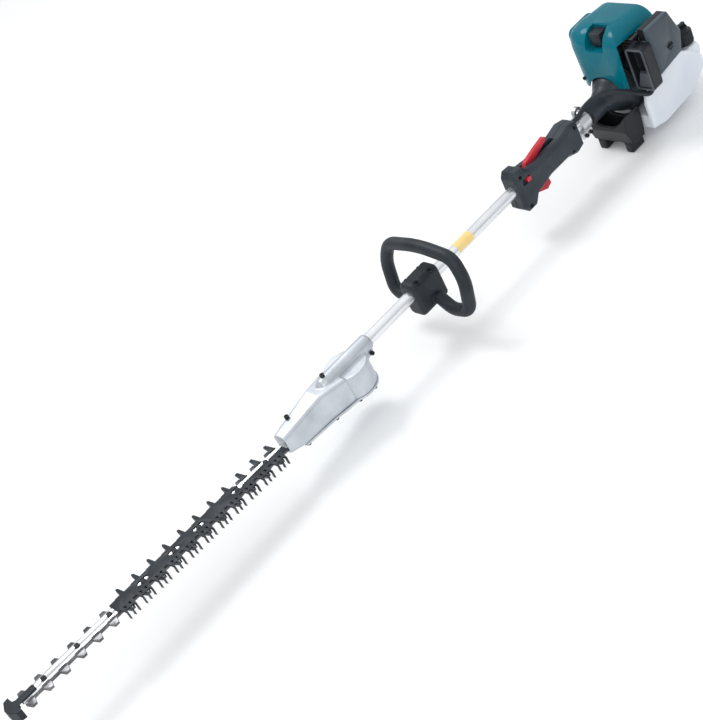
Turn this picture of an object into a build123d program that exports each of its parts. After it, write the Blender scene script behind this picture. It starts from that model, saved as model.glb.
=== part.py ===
from build123d import *
import math
import os

os.makedirs("parts", exist_ok=True)

# Petrol pole hedge trimmer. +X runs forward to the blade tip, +Y is the user's left, +Z is up.
# The origin is the centre of the strap eye; the shaft axis lies AXIS_Z below it. Millimetres.

# Shaft
AXIS_Z = -26.0
TUBE_R = 12.0
TUBE_WALL = 1.6
TUBE_REAR = -78.0
TUBE_FRONT = 676.0
ROD_R = 4.5
RUN_FIT = 0.05

# Cutter: bar, two blades and guard share a plane tilted up towards the tip
BLADE_X = 897.0
BLADE_Z = -36.0
BAR_TILT = 1.9
PITCH = 36.0
TEETH = 17
FIRST_TOOTH = 27.0
TOOTH_REACH = 24.5
STRIP_HALF = 11.0
BLADE_T = 2.4
BLADE_GAP = 0.2
BAR_T = 4.0
BAR_HALF = 9.5
BAR_END = 614.0
BLADE_END = 606.0
THROW = 8.5
BOLT_STATIONS = (45, 116, 210, 268, 341, 419, 491, 564)
FIN_REACH = 33.5
FIN_ROWS = 11

# Gear head
GEAR_X = 718.0
CROWN_TEETH = 44
PINION_TEETH = 11
CROWN_PITCH_R = 31.0
PINION_PITCH_R = CROWN_PITCH_R * PINION_TEETH / CROWN_TEETH
PIN_R = 5.0
YOKE_R = PIN_R + 2 * THROW + 0.5

# Loop handle
LOOP_X = 480.0
LOOP_TUBE_R = 12.7
CLAMP_REAR = 460.0
CLAMP_FRONT = 530.0

# Engine
CYL_X = -185.0
PISTON_R = 17.0
STROKE = 28.0

TILT = math.radians(BAR_TILT)
SHAFT_AXIS = Axis((0, 0, AXIS_Z), (1, 0, 0))


def across(x):
    """Plane square to the shaft at station x: local x is +Y, local y is +Z."""
    return Plane(origin=(x, 0, AXIS_Z), x_dir=(0, 1, 0), z_dir=(1, 0, 0))


def level(z):
    """Horizontal plane, z above the shaft axis."""
    return Plane(origin=(0, 0, AXIS_Z + z), x_dir=(1, 0, 0), z_dir=(0, 0, 1))


def side(y):
    """Upright plane along the shaft, seen from the right: local x is +X, local y is +Z."""
    return Plane(origin=(0, y, AXIS_Z), x_dir=(1, 0, 0), z_dir=(0, -1, 0))


def cutter(height):
    """Plane of the tilted cutter, height above the upper blade's underside."""
    origin = (BLADE_X, 0, AXIS_Z + BLADE_Z)
    tilted = Plane(origin=origin, x_dir=(math.cos(TILT), 0, math.sin(TILT)),
                   z_dir=(-math.sin(TILT), 0, math.cos(TILT)))
    return tilted.offset(height)


def outline(plane, *points):
    """Closed straight-sided outline on a plane."""
    with BuildSketch(plane) as sketch:
        with BuildLine():
            Polyline(*points, close=True)
        make_face()
    return sketch.sketch


def disc(plane, radius, x=0, y=0, hole=0):
    """Round outline, with a hole in its middle if one is given."""
    with BuildSketch(plane) as sketch:
        with Locations((x, y)):
            Circle(radius)
            if hole:
                Circle(hole, mode=Mode.SUBTRACT)
    return sketch.sketch


def slab(plane, width, depth, x=0, y=0, corner=0):
    """Rectangular outline, with rounded corners if a radius is given."""
    with BuildSketch(plane) as sketch:
        with Locations((x, y)):
            if corner:
                RectangleRounded(width, depth, corner)
            else:
                Rectangle(width, depth)
    return sketch.sketch


def turned(*points):
    """Faces of a half section of (x, radius) points, to turn about the shaft axis."""
    return outline(side(0), *points).faces()


def save(builder, name):
    """Label one finished piece and write it as its own STEP file."""
    builder.part.label = name
    export_step(builder.part, f"parts/{name}.step")


# ---------------------------------------------------------------- shaft
with BuildPart() as shaft_tube:
    extrude(disc(across(TUBE_REAR), TUBE_R, hole=TUBE_R - TUBE_WALL), amount=TUBE_FRONT - TUBE_REAR)
save(shaft_tube, "shaft_tube")

BUSH_LENGTH = 24
BUSH_STATIONS = (-66, 150, 400, 640)
with BuildPart() as shaft_bushes:
    for station in BUSH_STATIONS:
        extrude(disc(across(station), TUBE_R - TUBE_WALL, hole=ROD_R + RUN_FIT), amount=BUSH_LENGTH)
save(shaft_bushes, "shaft_bushes")

PINION_X = GEAR_X + CROWN_PITCH_R
PINION_FACE = 4.4
with BuildPart() as drive_shaft:
    extrude(disc(across(-112), ROD_R), amount=PINION_X - 3 + 112)
save(drive_shaft, "drive_shaft")

with BuildPart() as bevel_pinion:
    extrude(disc(across(PINION_X - 10), 6.6, hole=ROD_R), amount=7.8)
    extrude(disc(across(PINION_X - PINION_FACE / 2), 6.8), amount=PINION_FACE + 2)
    with BuildSketch(across(PINION_X - PINION_FACE / 2)) as pinion_teeth:
        with PolarLocations(0, PINION_TEETH, start_angle=-90):
            Polygon((6.2, -0.8), (6.2, 0.8), (8.6, 0.45), (8.6, -0.45), align=None)
    extrude(amount=PINION_FACE)
    extrude(disc(across(PINION_X - 10), ROD_R), amount=7, mode=Mode.SUBTRACT)
save(bevel_pinion, "bevel_pinion")

# ---------------------------------------------------------------- gear head
TOP_BOLTS = ((764, 0, 16.0), (858, -12, -2.0))
LUG_BOLT = (658, -22)
CASE_FLOOR = -52.0
CAVITY_R = 38.0
NECK_R = 16.0
with BuildPart() as gear_case:
    # barrel round the tube, domed at its front end, and the round drum below it
    revolve(turned((650, 0), (650, 14), (653, 15.6), (700, NECK_R), (766, NECK_R), (776, 13), (783, 7),
                   (785, 0)), axis=SHAFT_AXIS)
    extrude(disc(level(CASE_FLOOR), 42, x=714), amount=49.5)
    with BuildSketch(across(744)):
        with Locations((0, -26)):
            RectangleRounded(68, 55, 8)
    with BuildSketch(across(800)):
        with Locations((0, -24.7)):
            RectangleRounded(46, 60.4, 8)
    with BuildSketch(across(866)):
        with Locations((0, -29)):
            RectangleRounded(37, 50, 8)
    with BuildSketch(across(897)):
        with Locations((0, -27)):
            RectangleRounded(32, 37, 8)
    loft(ruled=True)
    # web between barrel and drum at the rear, and the clamp lug below the neck
    extrude(outline(side(4), (652, -14), (700, -14), (700, -44), (676, -44), (662, -24)), amount=8)
    extrude(outline(side(6), (651, -12), (668, -12), (664, -27), (652, -27)), amount=12)
    # seat for the tube, room for the shaft and pinion, and the drum's cavity
    extrude(disc(across(630), TUBE_R + RUN_FIT), amount=TUBE_FRONT + 2 - 630, mode=Mode.SUBTRACT)
    extrude(disc(across(TUBE_FRONT - 1), 10.5), amount=82, mode=Mode.SUBTRACT)
    extrude(disc(level(CASE_FLOOR), CAVITY_R, x=GEAR_X), amount=46, mode=Mode.SUBTRACT)
    # slot along the nose for the two blades and the bar above them
    extrude(slab(cutter(-4), 190, 2 * STRIP_HALF + 4, x=-92), amount=7.6, mode=Mode.SUBTRACT)
    extrude(slab(cutter(2.6), 130, 2 * BAR_HALF + 0.2, x=-58), amount=BAR_T + 0.1, mode=Mode.SUBTRACT)
    # holes for the two top bolts and for the clamp bolt in the lug
    for x, y, z in TOP_BOLTS:
        extrude(disc(level(z - 7), 2.5, x=x, y=y), amount=12, mode=Mode.SUBTRACT)
    extrude(disc(side(10), 2.5, x=LUG_BOLT[0], y=LUG_BOLT[1]), amount=20, mode=Mode.SUBTRACT)
    # recess below the nose, closed by the cover
    extrude(slab(level(-60), 200, 100, x=800), amount=8, mode=Mode.SUBTRACT)
save(gear_case, "gear_case")

BEARING_R = 5.0
with BuildPart() as gear_case_cover:
    extrude(disc(level(CASE_FLOOR - 4.1), 43.5, x=714), amount=4)
    extrude(outline(level(CASE_FLOOR - 4.1), (735, -36), (735, 36), (800, 24), (866, 18), (866, -18),
                    (800, -24)), amount=4)
    extrude(disc(level(CASE_FLOOR - 8), 12, x=GEAR_X), amount=6)
    extrude(disc(level(CASE_FLOOR - 5), BEARING_R + RUN_FIT, x=GEAR_X), amount=9, mode=Mode.SUBTRACT)
save(gear_case_cover, "gear_case_cover")

COVER_SCREWS = ((678, 14), (678, -14), (701, 37), (701, -37), (737, 32), (737, -32),
                (790, 21), (790, -21), (858, 14), (858, -14))
ENGINE_SCREWS = ((-17, 54), (-48, 34), (46, 36))
with BuildPart() as small_screws:
    # round the gear case cover, and through the front of the engine cover
    for x, y in COVER_SCREWS:
        extrude(disc(level(CASE_FLOOR - 7.2), 3.4, x=x, y=y, hole=1.5), amount=3)
    for y, z in ENGINE_SCREWS:
        extrude(disc(across(-94.9), 4, x=y, y=z), amount=3)
        extrude(disc(across(-93), 1.7, x=y, y=z), amount=2, mode=Mode.SUBTRACT)
save(small_screws, "small_screws")

with BuildPart() as neck_bolts:
    for x, y, z in TOP_BOLTS:
        extrude(disc(level(z - 6), 2.4, x=x, y=y), amount=7)
        extrude(disc(level(z), 4.5, x=x, y=y), amount=4.5)
        extrude(disc(level(z + 2), 2, x=x, y=y), amount=3, mode=Mode.SUBTRACT)
    extrude(disc(side(8), 2.4, x=LUG_BOLT[0], y=LUG_BOLT[1]), amount=14)
    extrude(disc(side(10.2), 4, x=LUG_BOLT[0], y=LUG_BOLT[1]), amount=4)
    extrude(disc(side(10.4), 1.8, x=LUG_BOLT[0], y=LUG_BOLT[1]), amount=2, mode=Mode.SUBTRACT)
save(neck_bolts, "neck_bolts")

with BuildPart() as crank_gear:
    extrude(disc(level(-20), 33, x=GEAR_X), amount=10.75)
    with BuildSketch(level(-9.3)):
        with Locations((GEAR_X, 0)):
            with PolarLocations(0, CROWN_TEETH, start_angle=180 / CROWN_TEETH):
                Polygon((28.6, -0.7), (33.4, -0.9), (33.4, 0.9), (28.6, 0.7), align=None)
    extrude(amount=2.15)
    for eccentric in (THROW, -THROW):
        extrude(disc(level(-49), PIN_R, x=GEAR_X, y=eccentric), amount=30)
    extrude(disc(level(-51), 15, x=GEAR_X), amount=2.5)
    extrude(disc(level(-56), BEARING_R, x=GEAR_X), amount=6)
save(crank_gear, "crank_gear")

# ---------------------------------------------------------------- cutter
YOKE_X = GEAR_X - BLADE_X
SLOT_LENGTH = 2 * THROW + 8


def blade_outline(plane):
    """Toothed strip with the wide yoke at its tail and a slot at every bar bolt."""
    with BuildSketch(plane) as sketch:
        with Locations(((YOKE_X + BLADE_END) / 2, 0)):
            Rectangle(BLADE_END - YOKE_X, 2 * STRIP_HALF)
        for tooth in range(TEETH):
            x = FIRST_TOOTH + PITCH * tooth
            for hand in (1, -1):
                with BuildLine():
                    Polyline((x - 9.5, hand * (STRIP_HALF - 1)), (x - 4.5, hand * TOOTH_REACH),
                             (x + 4.5, hand * TOOTH_REACH), (x + 9.5, hand * (STRIP_HALF - 1)), close=True)
                make_face()
        with Locations((YOKE_X, 0)):
            Circle(YOKE_R + 4.5)
            Circle(YOKE_R, mode=Mode.SUBTRACT)
        with Locations(*[(x, 0) for x in BOLT_STATIONS]):
            SlotOverall(SLOT_LENGTH, 6.8, mode=Mode.SUBTRACT)
    return sketch.sketch


with BuildPart() as upper_blade:
    extrude(blade_outline(cutter(0)), amount=BLADE_T)
save(upper_blade, "upper_blade")

with BuildPart() as lower_blade:
    extrude(blade_outline(cutter(-BLADE_GAP - BLADE_T)), amount=BLADE_T)
save(lower_blade, "lower_blade")

BAR_BASE = BLADE_T + BLADE_GAP
BAR_TAIL = -118.0
with BuildPart() as guide_bar:
    with BuildSketch(cutter(BAR_BASE)):
        with Locations(((BAR_TAIL + BAR_END) / 2, 0)):
            RectangleRounded(BAR_END - BAR_TAIL, 2 * BAR_HALF, 3)
        with Locations(*[(x, 0) for x in BOLT_STATIONS]):
            Circle(3.05, mode=Mode.SUBTRACT)
    extrude(amount=BAR_T)
save(guide_bar, "guide_bar")

BAR_TOP = BAR_BASE + BAR_T
BLADE_FLOOR = -BLADE_GAP - BLADE_T
with BuildPart() as bar_bolts:
    for x in BOLT_STATIONS:
        extrude(disc(cutter(BLADE_FLOOR - 2.4), 3.0, x=x), amount=BAR_TOP - BLADE_FLOOR + 2.4)
        extrude(disc(cutter(BAR_TOP), 5.0, x=x), amount=2.4)
        extrude(disc(cutter(BLADE_FLOOR - 1.6), 7.0, x=x), amount=1.3)
        with BuildSketch(cutter(BLADE_FLOOR - 5.6)):
            with Locations((x, 0)):
                RegularPolygon(5.4, 6)
        extrude(amount=4)
save(bar_bolts, "bar_bolts")

GUARD_REAR = 4.0
GUARD_WIDE = 116.0
GUARD_FRONT = 408.0
GUARD_T = 2.6
FIN_START = 18.0
FIN_LOW = -7.0
CLAW_HALF = 12.0
CLAW_PRONGS = (-10, 0, 10)
ARM_BASE = BLADE_T + 1.4


def pointed(x, half, start):
    """Corners of a tapering finger at x, from start out to the guard's reach on that side."""
    reach = math.copysign(FIN_REACH, start)
    neck = reach - math.copysign(3, start)
    return ((x - half, start), (x + half, start), (x + 0.6 * half, neck), (x + 0.6, reach), (x - 0.6, reach),
            (x - 0.6 * half, neck))


with BuildPart() as blade_guard:
    # plate on the bar: half width at the rear, then full width with scalloped edges
    with BuildSketch(cutter(BAR_TOP)):
        with BuildLine():
            Polyline((GUARD_REAR, 1), (GUARD_REAR, 14), (GUARD_FRONT, 14), (GUARD_FRONT, -14),
                     (GUARD_WIDE, -14), (GUARD_WIDE - 12, 1), close=True)
        make_face()
        with Locations(*[(x, 0) for x in BOLT_STATIONS[1:5]]):
            SlotOverall(24, 12, mode=Mode.SUBTRACT)
        with Locations((BOLT_STATIONS[0], 0)):
            Circle(6.5, mode=Mode.SUBTRACT)
    extrude(amount=GUARD_T)
    # skirts down the edges of the bar
    extrude(slab(cutter(ARM_BASE), GUARD_FRONT - GUARD_REAR, 2.6, x=(GUARD_REAR + GUARD_FRONT) / 2, y=12.7),
            amount=BAR_TOP + GUARD_T - ARM_BASE)
    extrude(slab(cutter(ARM_BASE), GUARD_FRONT - GUARD_WIDE, 2.6, x=(GUARD_WIDE + GUARD_FRONT) / 2,
                 y=-12.7), amount=BAR_TOP + GUARD_T - ARM_BASE)
    for row in range(FIN_ROWS):
        x = FIN_START + PITCH * row
        # left claws: a web with two openings, then three prongs hooked down outside the teeth
        middle = x + CLAW_HALF
        if middle + CLAW_HALF < GUARD_FRONT:
            extrude(outline(cutter(BAR_TOP), (middle - CLAW_HALF - 3, 12), (middle + CLAW_HALF + 3, 12),
                            (middle + CLAW_HALF, FIN_REACH - 7), (middle - CLAW_HALF, FIN_REACH - 7)),
                    amount=GUARD_T)
            for hand in (-1, 1):
                extrude(outline(cutter(BAR_TOP - 1), (middle + hand * 2.5, 15), (middle + hand * 8, 15),
                                (middle + hand * 5.5, 24)), amount=GUARD_T + 2, mode=Mode.SUBTRACT)
        for prong in CLAW_PRONGS:
            if GUARD_REAR < middle + prong < GUARD_FRONT:
                extrude(outline(cutter(ARM_BASE), *pointed(middle + prong, 2, 12)),
                        amount=BAR_TOP + GUARD_T - ARM_BASE)
                extrude(outline(cutter(FIN_LOW), *pointed(middle + prong, 1.8, FIN_REACH - 5)),
                        amount=BAR_TOP + GUARD_T - FIN_LOW)
        # right fins: single points, carried by the plate where it is full width
        if x > GUARD_WIDE:
            extrude(outline(cutter(ARM_BASE), *pointed(x, 4.5, -12)), amount=BAR_TOP + GUARD_T - ARM_BASE)
            extrude(outline(cutter(FIN_LOW), *pointed(x, 2.5, 5 - FIN_REACH)),
                    amount=BAR_TOP + GUARD_T - FIN_LOW)
    # three single fins clipped on the bar's open side, behind the full-width plate
    for row in range(3):
        x = FIN_START + PITCH * row
        extrude(outline(cutter(ARM_BASE + 1.2), (x - 6, -BAR_HALF), (x + 6, -BAR_HALF), (x + 3, -FIN_REACH),
                        (x - 3, -FIN_REACH)), amount=3.2)
        extrude(slab(cutter(ARM_BASE), 16, 3, x=x, y=-BAR_HALF - 1.6), amount=BAR_TOP - ARM_BASE)
save(blade_guard, "blade_guard")

TIP_REAR = 623.0
with BuildPart() as tip_protector:
    with BuildSketch(cutter(-8)):
        with BuildLine():
            Polyline((TIP_REAR, -24), (TIP_REAR, 24), (TIP_REAR + 10, 22), (TIP_REAR + 19, 5),
                     (TIP_REAR + 19, -5), (TIP_REAR + 10, -22), close=True)
        make_face()
    extrude(amount=19)
    extrude(slab(cutter(BAR_TOP), 46, 14, x=TIP_REAR - 18, corner=4), amount=3.4)
    extrude(slab(cutter(BAR_BASE), 5, 19, x=TIP_REAR - 1), amount=BAR_T + 3)
    fillet(tip_protector.edges().filter_by(Axis.Z, tolerance=3).group_by(Axis.X)[-1], 3)
save(tip_protector, "tip_protector")

# ---------------------------------------------------------------- loop handle
LOOP_LEAN = 12.0
LOOP_ARM_Z = -30.0
CLAMP_HALF = 21.0
LOOP_PLANE = Plane(origin=(LOOP_X, 0, AXIS_Z), x_dir=(0, 1, 0),
                   z_dir=(math.cos(math.radians(LOOP_LEAN)), 0, math.sin(math.radians(LOOP_LEAN))))
HALF_ROUTE = ((CLAMP_HALF, LOOP_ARM_Z), (55, -50), (100, -44), (104, 20), (84, 62))
loop_route = [*HALF_ROUTE, (0, 72), *[(-y, z) for y, z in reversed(HALF_ROUTE)]]
loop_radii = [40, 22, 70, 34, 300, 34, 70, 22, 40]
with BuildPart() as loop_handle:
    with BuildLine(LOOP_PLANE):
        FilletPolyline(*loop_route, radius=loop_radii)
    with BuildSketch(Plane(origin=LOOP_PLANE.from_local_coords((CLAMP_HALF, LOOP_ARM_Z, 0)),
                           z_dir=LOOP_PLANE.from_local_coords((*HALF_ROUTE[1], 0))
                           - LOOP_PLANE.from_local_coords((CLAMP_HALF, LOOP_ARM_Z, 0)))):
        Circle(LOOP_TUBE_R)
    sweep()
    # the tube's ends stop at the clamp's flat cheeks
    extrude(slab(across(LOOP_X - 40), 2 * CLAMP_HALF + 0.2, 60, y=LOOP_ARM_Z), amount=80, mode=Mode.SUBTRACT)
save(loop_handle, "loop_handle")

CLAMP_TOP = 27.0
CLAMP_LOW = -46.0
with BuildPart() as loop_clamp:
    extrude(slab(across(CLAMP_REAR), 2 * CLAMP_HALF, CLAMP_TOP - CLAMP_LOW,
                 y=(CLAMP_TOP + CLAMP_LOW) / 2, corner=12), amount=CLAMP_FRONT - CLAMP_REAR)
    fillet(loop_clamp.edges().group_by(Axis.X)[-1], 8)
    fillet(loop_clamp.edges().group_by(Axis.X)[0], 4)
    extrude(disc(across(CLAMP_REAR), TUBE_R + RUN_FIT), amount=CLAMP_FRONT - CLAMP_REAR, mode=Mode.SUBTRACT)
    with Locations(*[Plane(origin=(x, y, AXIS_Z + CLAMP_TOP)) for x in (476, 512) for y in (-15, 15)]):
        CounterBoreHole(2.6, 4.6, 9, depth=50)
save(loop_clamp, "loop_clamp")

with BuildPart() as loop_bolts:
    for x in (476, 512):
        for y in (-15, 15):
            extrude(disc(level(CLAMP_TOP - 48), 2.5, x=x, y=y), amount=39.5)
            extrude(disc(level(CLAMP_TOP - 9), 4.4, x=x, y=y, hole=2.0), amount=5)
save(loop_bolts, "loop_bolts")

# ---------------------------------------------------------------- throttle grip
GRIP_HALF = 24.0
GRIP_OUTLINE = ((26, -28), (26, 26), (50, 32), (80, 25), (150, 24), (180, 28), (192, 40), (212, 42),
                (221, 30), (222, -38), (212, -50), (190, -50), (176, -33), (130, -24), (76, -25), (48, -34))
TRIGGER_PIN = (178.0, -19.0)
LEVER_PIN = (166.0, 19.5)
SWITCH = (196.0, 14.0)
CONTROL_PIN_R = 2.0
GRIP_SCREWS = ((40, 20), (62, -21), (208, 29), (208, -38))


def grip_shell(hand):
    """One moulded half of the grip: hand is +1 for the left half and -1 for the right."""
    with BuildPart() as half:
        extrude(outline(side(0), *GRIP_OUTLINE), amount=-hand * GRIP_HALF)
        chamfer(half.edges().filter_by(Plane.XZ).group_by(Axis.Y)[-1 if hand > 0 else 0], 7.5)
        extrude(disc(across(20), TUBE_R + RUN_FIT), amount=230, mode=Mode.SUBTRACT)
        # trigger and lever wells, open below and above
        extrude(slab(side(8), 84, 60, x=154, y=-12.4 - 30), amount=16, mode=Mode.SUBTRACT)
        extrude(slab(side(5.5), 100, 60, x=132, y=12.4 + 30), amount=11, mode=Mode.SUBTRACT)
        for x, z in (TRIGGER_PIN, LEVER_PIN):
            extrude(disc(side(20), CONTROL_PIN_R, x=x, y=z), amount=40, mode=Mode.SUBTRACT)
        for x, z in GRIP_SCREWS:
            extrude(disc(side(GRIP_HALF + 1), 4, x=x, y=z), amount=9.1, mode=Mode.SUBTRACT)
        # pocket for the stop switch
        extrude(slab(side(GRIP_HALF + 1), 24, 12, x=SWITCH[0], y=SWITCH[1]), amount=7, mode=Mode.SUBTRACT)
    return half


grip_left = grip_shell(1)
save(grip_left, "grip_left")
grip_right = grip_shell(-1)
save(grip_right, "grip_right")

with BuildPart() as control_pins:
    for x, z in (TRIGGER_PIN, LEVER_PIN):
        extrude(disc(side(19.8), CONTROL_PIN_R, x=x, y=z), amount=39.6)
save(control_pins, "control_pins")

with BuildPart() as grip_screws:
    for x, z in GRIP_SCREWS:
        extrude(disc(side(GRIP_HALF - 3), 3.8, x=x, y=z), amount=5)
        extrude(disc(side(GRIP_HALF - 2), 1.6, x=x, y=z), amount=3, mode=Mode.SUBTRACT)
save(grip_screws, "grip_screws")

with BuildPart() as throttle_trigger:
    extrude(outline(side(6), (187, -15), (172, -17), (130, -33), (128, -46), (141, -52), (176, -38), (188, -25)),
            amount=12)
    extrude(disc(side(8), CONTROL_PIN_R + RUN_FIT, x=TRIGGER_PIN[0], y=TRIGGER_PIN[1]), amount=16,
            mode=Mode.SUBTRACT)
save(throttle_trigger, "throttle_trigger")

with BuildPart() as lock_lever:
    extrude(outline(side(4.5), (172, 14.5), (160, 14.5), (128, 26), (104, 34), (98, 40), (104, 44), (134, 39),
                    (168, 31), (175, 22)), amount=9)
    extrude(disc(side(6), CONTROL_PIN_R + RUN_FIT, x=LEVER_PIN[0], y=LEVER_PIN[1]), amount=12,
            mode=Mode.SUBTRACT)
save(lock_lever, "lock_lever")

with BuildPart() as stop_switch:
    extrude(slab(side(GRIP_HALF + 2), 11, 9, x=SWITCH[0] - 5, y=SWITCH[1], corner=2), amount=7)
save(stop_switch, "stop_switch")

# ---------------------------------------------------------------- strap hanger
with BuildPart() as hanger:
    extrude(disc(across(-13), 18.5, hole=TUBE_R), amount=26)
    with BuildSketch(side(4)):
        with BuildLine():
            Polyline((-11, 14), (-11, 26), (11, 26), (11, 14), close=True)
        make_face()
        with Locations((0, -AXIS_Z)):
            Circle(11)
            Circle(5, mode=Mode.SUBTRACT)
    extrude(amount=8)
    extrude(slab(across(-13), 22, 14, y=-23, corner=3), amount=26)
    extrude(slab(across(-13), 2, 20, y=-23), amount=26, mode=Mode.SUBTRACT)
    extrude(disc(across(-13), TUBE_R), amount=26, mode=Mode.SUBTRACT)
    with Locations(*[Plane(origin=(x, 0, AXIS_Z - 24), x_dir=(1, 0, 0), z_dir=(0, 1, 0)) for x in (-6.5, 6.5)]):
        Cylinder(2.6, 30, mode=Mode.SUBTRACT)
save(hanger, "hanger")

with BuildPart() as hanger_bolts:
    for x in (-6.5, 6.5):
        extrude(disc(side(11), 2.5, x=x, y=-24), amount=24)
        extrude(disc(side(15), 4.2, x=x, y=-24, hole=1.8), amount=4)
save(hanger_bolts, "hanger_bolts")

# ---------------------------------------------------------------- clutch end
with BuildPart() as clutch_case:
    revolve(turned((-20, 17), (-20, 21.5), (-62, 22), (-78, 28), (-88, 36), (-95, 40.5), (-104, 47), (-126, 56),
                   (-126, 44), (-106, 42), (-97, 38.8), (-94, 34), (-82, 20), (-78, 17)), axis=SHAFT_AXIS)
save(clutch_case, "clutch_case")

with BuildPart() as tube_damper:
    extrude(disc(across(-77.5), 17, hole=TUBE_R), amount=57)
save(tube_damper, "tube_damper")

with BuildPart() as clutch_drum:
    revolve(turned((-98, ROD_R), (-98, 38), (-122, 38), (-122, 35.5), (-101, 35.5), (-101, ROD_R)), axis=SHAFT_AXIS)
    extrude(disc(across(-112), 9, hole=ROD_R), amount=13)
save(clutch_drum, "clutch_drum")

with BuildPart() as clutch_shoes:
    with BuildSketch(across(-120)):
        Circle(34.5)
        Circle(13, mode=Mode.SUBTRACT)
        with PolarLocations(24, 2):
            Rectangle(30, 3, mode=Mode.SUBTRACT)
        with PolarLocations(24, 2, start_angle=90):
            Rectangle(30, 3, mode=Mode.SUBTRACT)
    extrude(amount=6)
    extrude(disc(across(-126), 14, hole=7), amount=8)
    extrude(disc(across(-121.5), 30, hole=12), amount=2)
save(clutch_shoes, "clutch_shoes")

FAN_BLADES = 14
with BuildPart() as flywheel:
    extrude(disc(across(-150), 46, hole=7), amount=8)
    extrude(disc(across(-142), 18, hole=7), amount=13)
    with BuildSketch(across(-142)):
        with PolarLocations(33, FAN_BLADES):
            Rectangle(24, 2.4)
    extrude(amount=11)
save(flywheel, "flywheel")

with BuildPart() as fan_housing:
    extrude(disc(across(-158), 60, hole=52), amount=31.8)
    extrude(disc(across(-158), 56, hole=9), amount=3.5)
save(fan_housing, "fan_housing")

# ---------------------------------------------------------------- engine
CASE_REAR = -214.0
CASE_FRONT = -158.2
CASE_TOP = 32.0
with BuildPart() as crankcase:
    extrude(slab(level(-44), CASE_FRONT - CASE_REAR, 76, x=(CASE_FRONT + CASE_REAR) / 2, corner=12),
            amount=44 + CASE_TOP)
    extrude(disc(across(CASE_REAR + 5), 30), amount=CASE_FRONT - CASE_REAR - 10, mode=Mode.SUBTRACT)
    extrude(disc(across(CASE_REAR - 1), 7 + RUN_FIT), amount=CASE_FRONT - CASE_REAR + 2, mode=Mode.SUBTRACT)
    extrude(disc(level(0), 21.1, x=CYL_X), amount=CASE_TOP + 1, mode=Mode.SUBTRACT)
save(crankcase, "crankcase")

with BuildPart() as crankshaft:
    extrude(disc(across(-222), 7), amount=100)
    for web in (-198.5, -179.5):
        extrude(disc(across(web), 26), amount=8)
save(crankshaft, "crankshaft")

CYL_TOP = 106.0
FIN_COUNT = 9
with BuildPart() as cylinder:
    extrude(disc(level(28), 21, x=CYL_X), amount=CYL_TOP - 28)
    extrude(slab(level(CASE_TOP), 54, 54, x=CYL_X, corner=6), amount=5)
    for fin in range(FIN_COUNT):
        extrude(slab(level(44 + 7 * fin), 52, 76, x=CYL_X, corner=10), amount=2.4)
    extrude(slab(level(88), 50, 56, x=CYL_X, corner=6), amount=CYL_TOP - 88)
    extrude(disc(level(27), PISTON_R + RUN_FIT, x=CYL_X), amount=62, mode=Mode.SUBTRACT)
    # inlet on the left, exhaust on the right, plug seat at the front
    with Locations(Plane(origin=(CYL_X, 0, AXIS_Z + 94), z_dir=(0, 1, 0))):
        Cylinder(7, 100, mode=Mode.SUBTRACT)
    with Locations(Plane(origin=(CYL_X + 20, 0, AXIS_Z + 98), z_dir=(1, 0, 0))):
        Cylinder(6, 30, mode=Mode.SUBTRACT)
save(cylinder, "cylinder")

PISTON_TOP = 86.0
with BuildPart() as piston:
    extrude(disc(level(PISTON_TOP - 26), PISTON_R, x=CYL_X), amount=26)
    extrude(disc(level(PISTON_TOP - 27), PISTON_R - 2.5, x=CYL_X), amount=22, mode=Mode.SUBTRACT)
    for groove in (PISTON_TOP - 5, PISTON_TOP - 9):
        extrude(disc(level(groove), PISTON_R + 1, x=CYL_X, hole=PISTON_R - 1), amount=1.4, mode=Mode.SUBTRACT)
save(piston, "piston")

with BuildPart() as rocker_cover:
    extrude(slab(level(CYL_TOP), 52, 58, x=CYL_X, corner=9), amount=20)
    fillet(rocker_cover.faces().sort_by(Axis.Z)[-1].edges(), 6)
    extrude(slab(level(CYL_TOP - 1), 46, 52, x=CYL_X, corner=7), amount=18, mode=Mode.SUBTRACT)
save(rocker_cover, "rocker_cover")

with BuildPart() as spark_plug:
    extrude(disc(across(-160), 5.9, y=98), amount=14)
    with BuildSketch(across(-146)):
        with Locations((0, 98)):
            RegularPolygon(9, 6)
    extrude(amount=8)
    extrude(disc(across(-138), 5, y=98), amount=14)
save(spark_plug, "spark_plug")

with BuildPart() as plug_cap:
    extrude(slab(across(-136), 27, 38, y=111, corner=4), amount=24)
    fillet(plug_cap.edges().group_by(Axis.X)[-1], 3)
    extrude(disc(across(-137), 5.2, y=98), amount=14, mode=Mode.SUBTRACT)
save(plug_cap, "plug_cap")

with BuildPart() as ignition_coil:
    extrude(slab(across(-154), 30, 24, y=72, corner=3), amount=22)
save(ignition_coil, "ignition_coil")

with BuildPart() as muffler:
    extrude(slab(level(42), 64, 40, x=CYL_X - 2, y=-73, corner=10), amount=56)
    fillet(muffler.faces().sort_by(Axis.Z)[-1].edges(), 6)
    with Locations(Plane(origin=(CYL_X, -46, AXIS_Z + 94), z_dir=(0, 1, 0))):
        Cylinder(9, 16)
save(muffler, "muffler")

PRIMER_Y = 69.0
with BuildPart() as insulator:
    extrude(slab(side(53), 34, 34, x=CYL_X, y=78, corner=4), amount=15)
save(insulator, "insulator")

with BuildPart() as carburettor:
    extrude(slab(side(83), 38, 40, x=CYL_X, y=78, corner=4), amount=29.9)
    extrude(slab(side(80), 28, 8, x=CYL_X, y=56, corner=3), amount=22)
    extrude(disc(level(50), 9.3, x=CYL_X, y=PRIMER_Y), amount=7.5, mode=Mode.SUBTRACT)
save(carburettor, "carburettor")

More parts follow.
